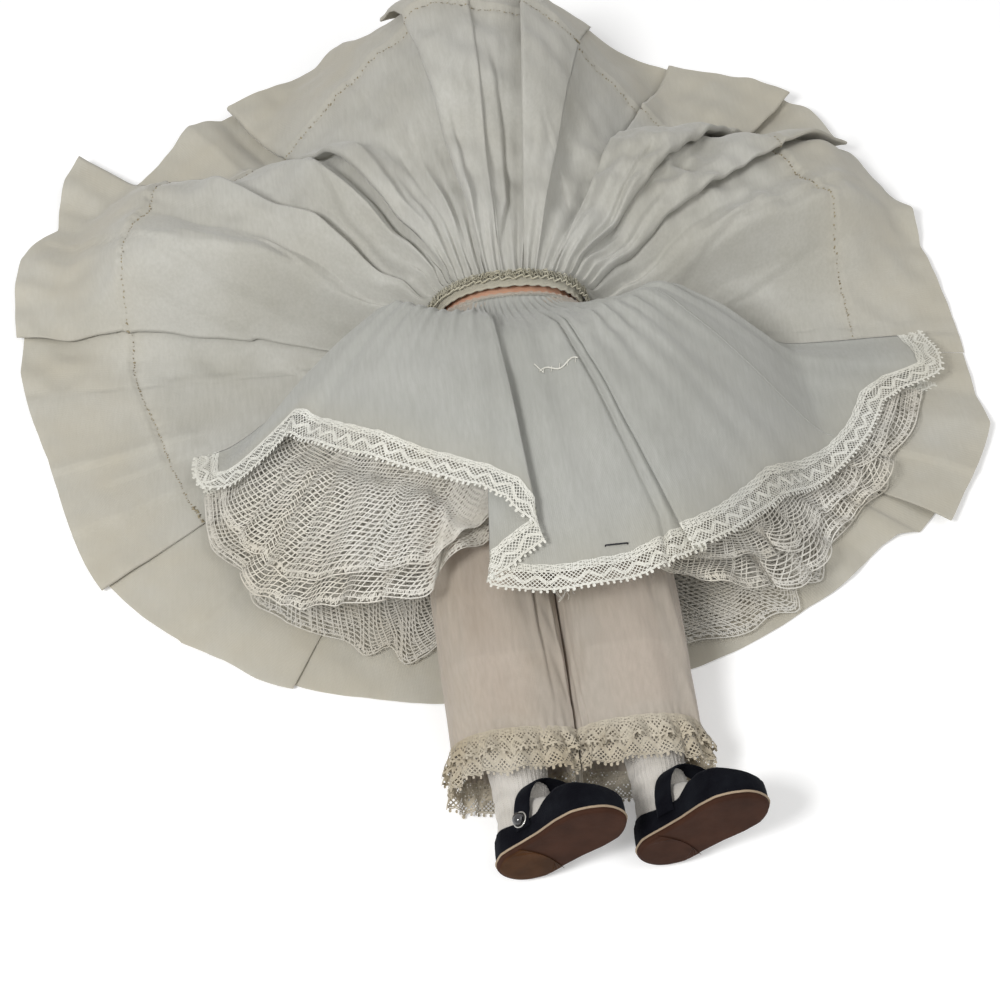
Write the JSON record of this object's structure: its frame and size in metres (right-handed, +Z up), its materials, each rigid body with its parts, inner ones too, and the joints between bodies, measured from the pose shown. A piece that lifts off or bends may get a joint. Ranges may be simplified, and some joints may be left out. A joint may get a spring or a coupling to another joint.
{
  "type": "dressed doll",
  "caption": "Dressed doll with turning head, arms and legs, lying on its back with the full skirt turned up over its layered underclothes.",
  "frame": {"origin": "on the floor under the middle of the hip line, on the flat underside of the skirt", "axes": "+Y along the doll from the feet to the head, +Z up from the floor, +X to the doll's left"},
  "size_m": [0.3748, 0.4145, 0.0753],
  "materials": {
    "skin": "smooth painted hard plastic",
    "hair": "soft waved fibre",
    "eye": "glossy",
    "dress_cotton": "plain-woven cotton, slightly aged",
    "white_cotton": "thin plain-woven cotton",
    "sheer_cotton": "sheer plain-woven cotton",
    "lace": "narrow cotton lace",
    "net": "coarse stiff net",
    "knit": "fine knit",
    "velvet": "short dark pile",
    "sole": "smooth worn",
    "button": "glossy",
    "metal": "bright",
    "elastic": "woven elastic"
  },
  "bodies": {
    "torso": {"torso_front": "skin", "torso_back": "skin", "dress_bodice": "dress_cotton", "dress_skirt": "dress_cotton", "waist_edge": "dress_cotton", "back_placket": "dress_cotton", "petticoat": "white_cotton", "petticoat_lace": "lace", "net_upper": "net", "net_lower": "net", "pantalette_top": "sheer_cotton", "hip_elastic": "elastic", "arm_elastic": "elastic"},
    "head": {"head_shell": "skin", "left_eye": "eye", "right_eye": "eye", "wig": "hair"},
    "left_arm": {"left_arm": "skin", "left_sleeve": "dress_cotton", "left_arm_hook": "metal"},
    "left_leg": {"left_leg": "skin", "left_sock": "knit", "left_shoe_upper": "velvet", "left_shoe_strap": "velvet", "left_shoe_sole": "sole", "left_shoe_button": "button", "left_button_ring": "metal", "left_pantalette_leg": "sheer_cotton", "left_cuff_lace": "lace", "left_leg_hook": "metal"},
    "right_arm": {"right_arm": "skin", "right_sleeve": "dress_cotton", "right_arm_hook": "metal"},
    "right_leg": {"right_leg": "skin", "right_sock": "knit", "right_shoe_upper": "velvet", "right_shoe_strap": "velvet", "right_shoe_sole": "sole", "right_shoe_button": "button", "right_button_ring": "metal", "right_pantalette_leg": "sheer_cotton", "right_cuff_lace": "lace", "right_leg_hook": "metal"}
  },
  "joints": [
    {"name": "neck_turn", "type": "hinge", "parent": "torso", "child": "head", "pos_m": [0, 0.112, 0.033], "axis": [0, 1, 0], "range_deg": [-60, 60]},
    {"name": "left_shoulder", "type": "hinge", "parent": "torso", "child": "left_arm", "pos_m": [0, 0.1, 0.0235], "axis": [-1, 0, 0], "range_deg": [0, 180], "deforming": ["dress_skirt", "arm_elastic"]},
    {"name": "left_hip", "type": "hinge", "parent": "torso", "child": "left_leg", "pos_m": [0, 0, 0.026], "axis": [-1, 0, 0], "range_deg": [0, 85], "deforming": ["pantalette_top", "petticoat", "petticoat_lace", "net_upper", "net_lower", "hip_elastic"]},
    {"name": "right_shoulder", "type": "hinge", "parent": "torso", "child": "right_arm", "pos_m": [0, 0.1, 0.0235], "axis": [-1, 0, 0], "range_deg": [0, 180], "deforming": ["dress_skirt", "arm_elastic"]},
    {"name": "right_hip", "type": "hinge", "parent": "torso", "child": "right_leg", "pos_m": [0, 0, 0.026], "axis": [-1, 0, 0], "range_deg": [0, 85], "deforming": ["pantalette_top", "petticoat", "petticoat_lace", "net_upper", "net_lower", "hip_elastic"]}
  ]
}
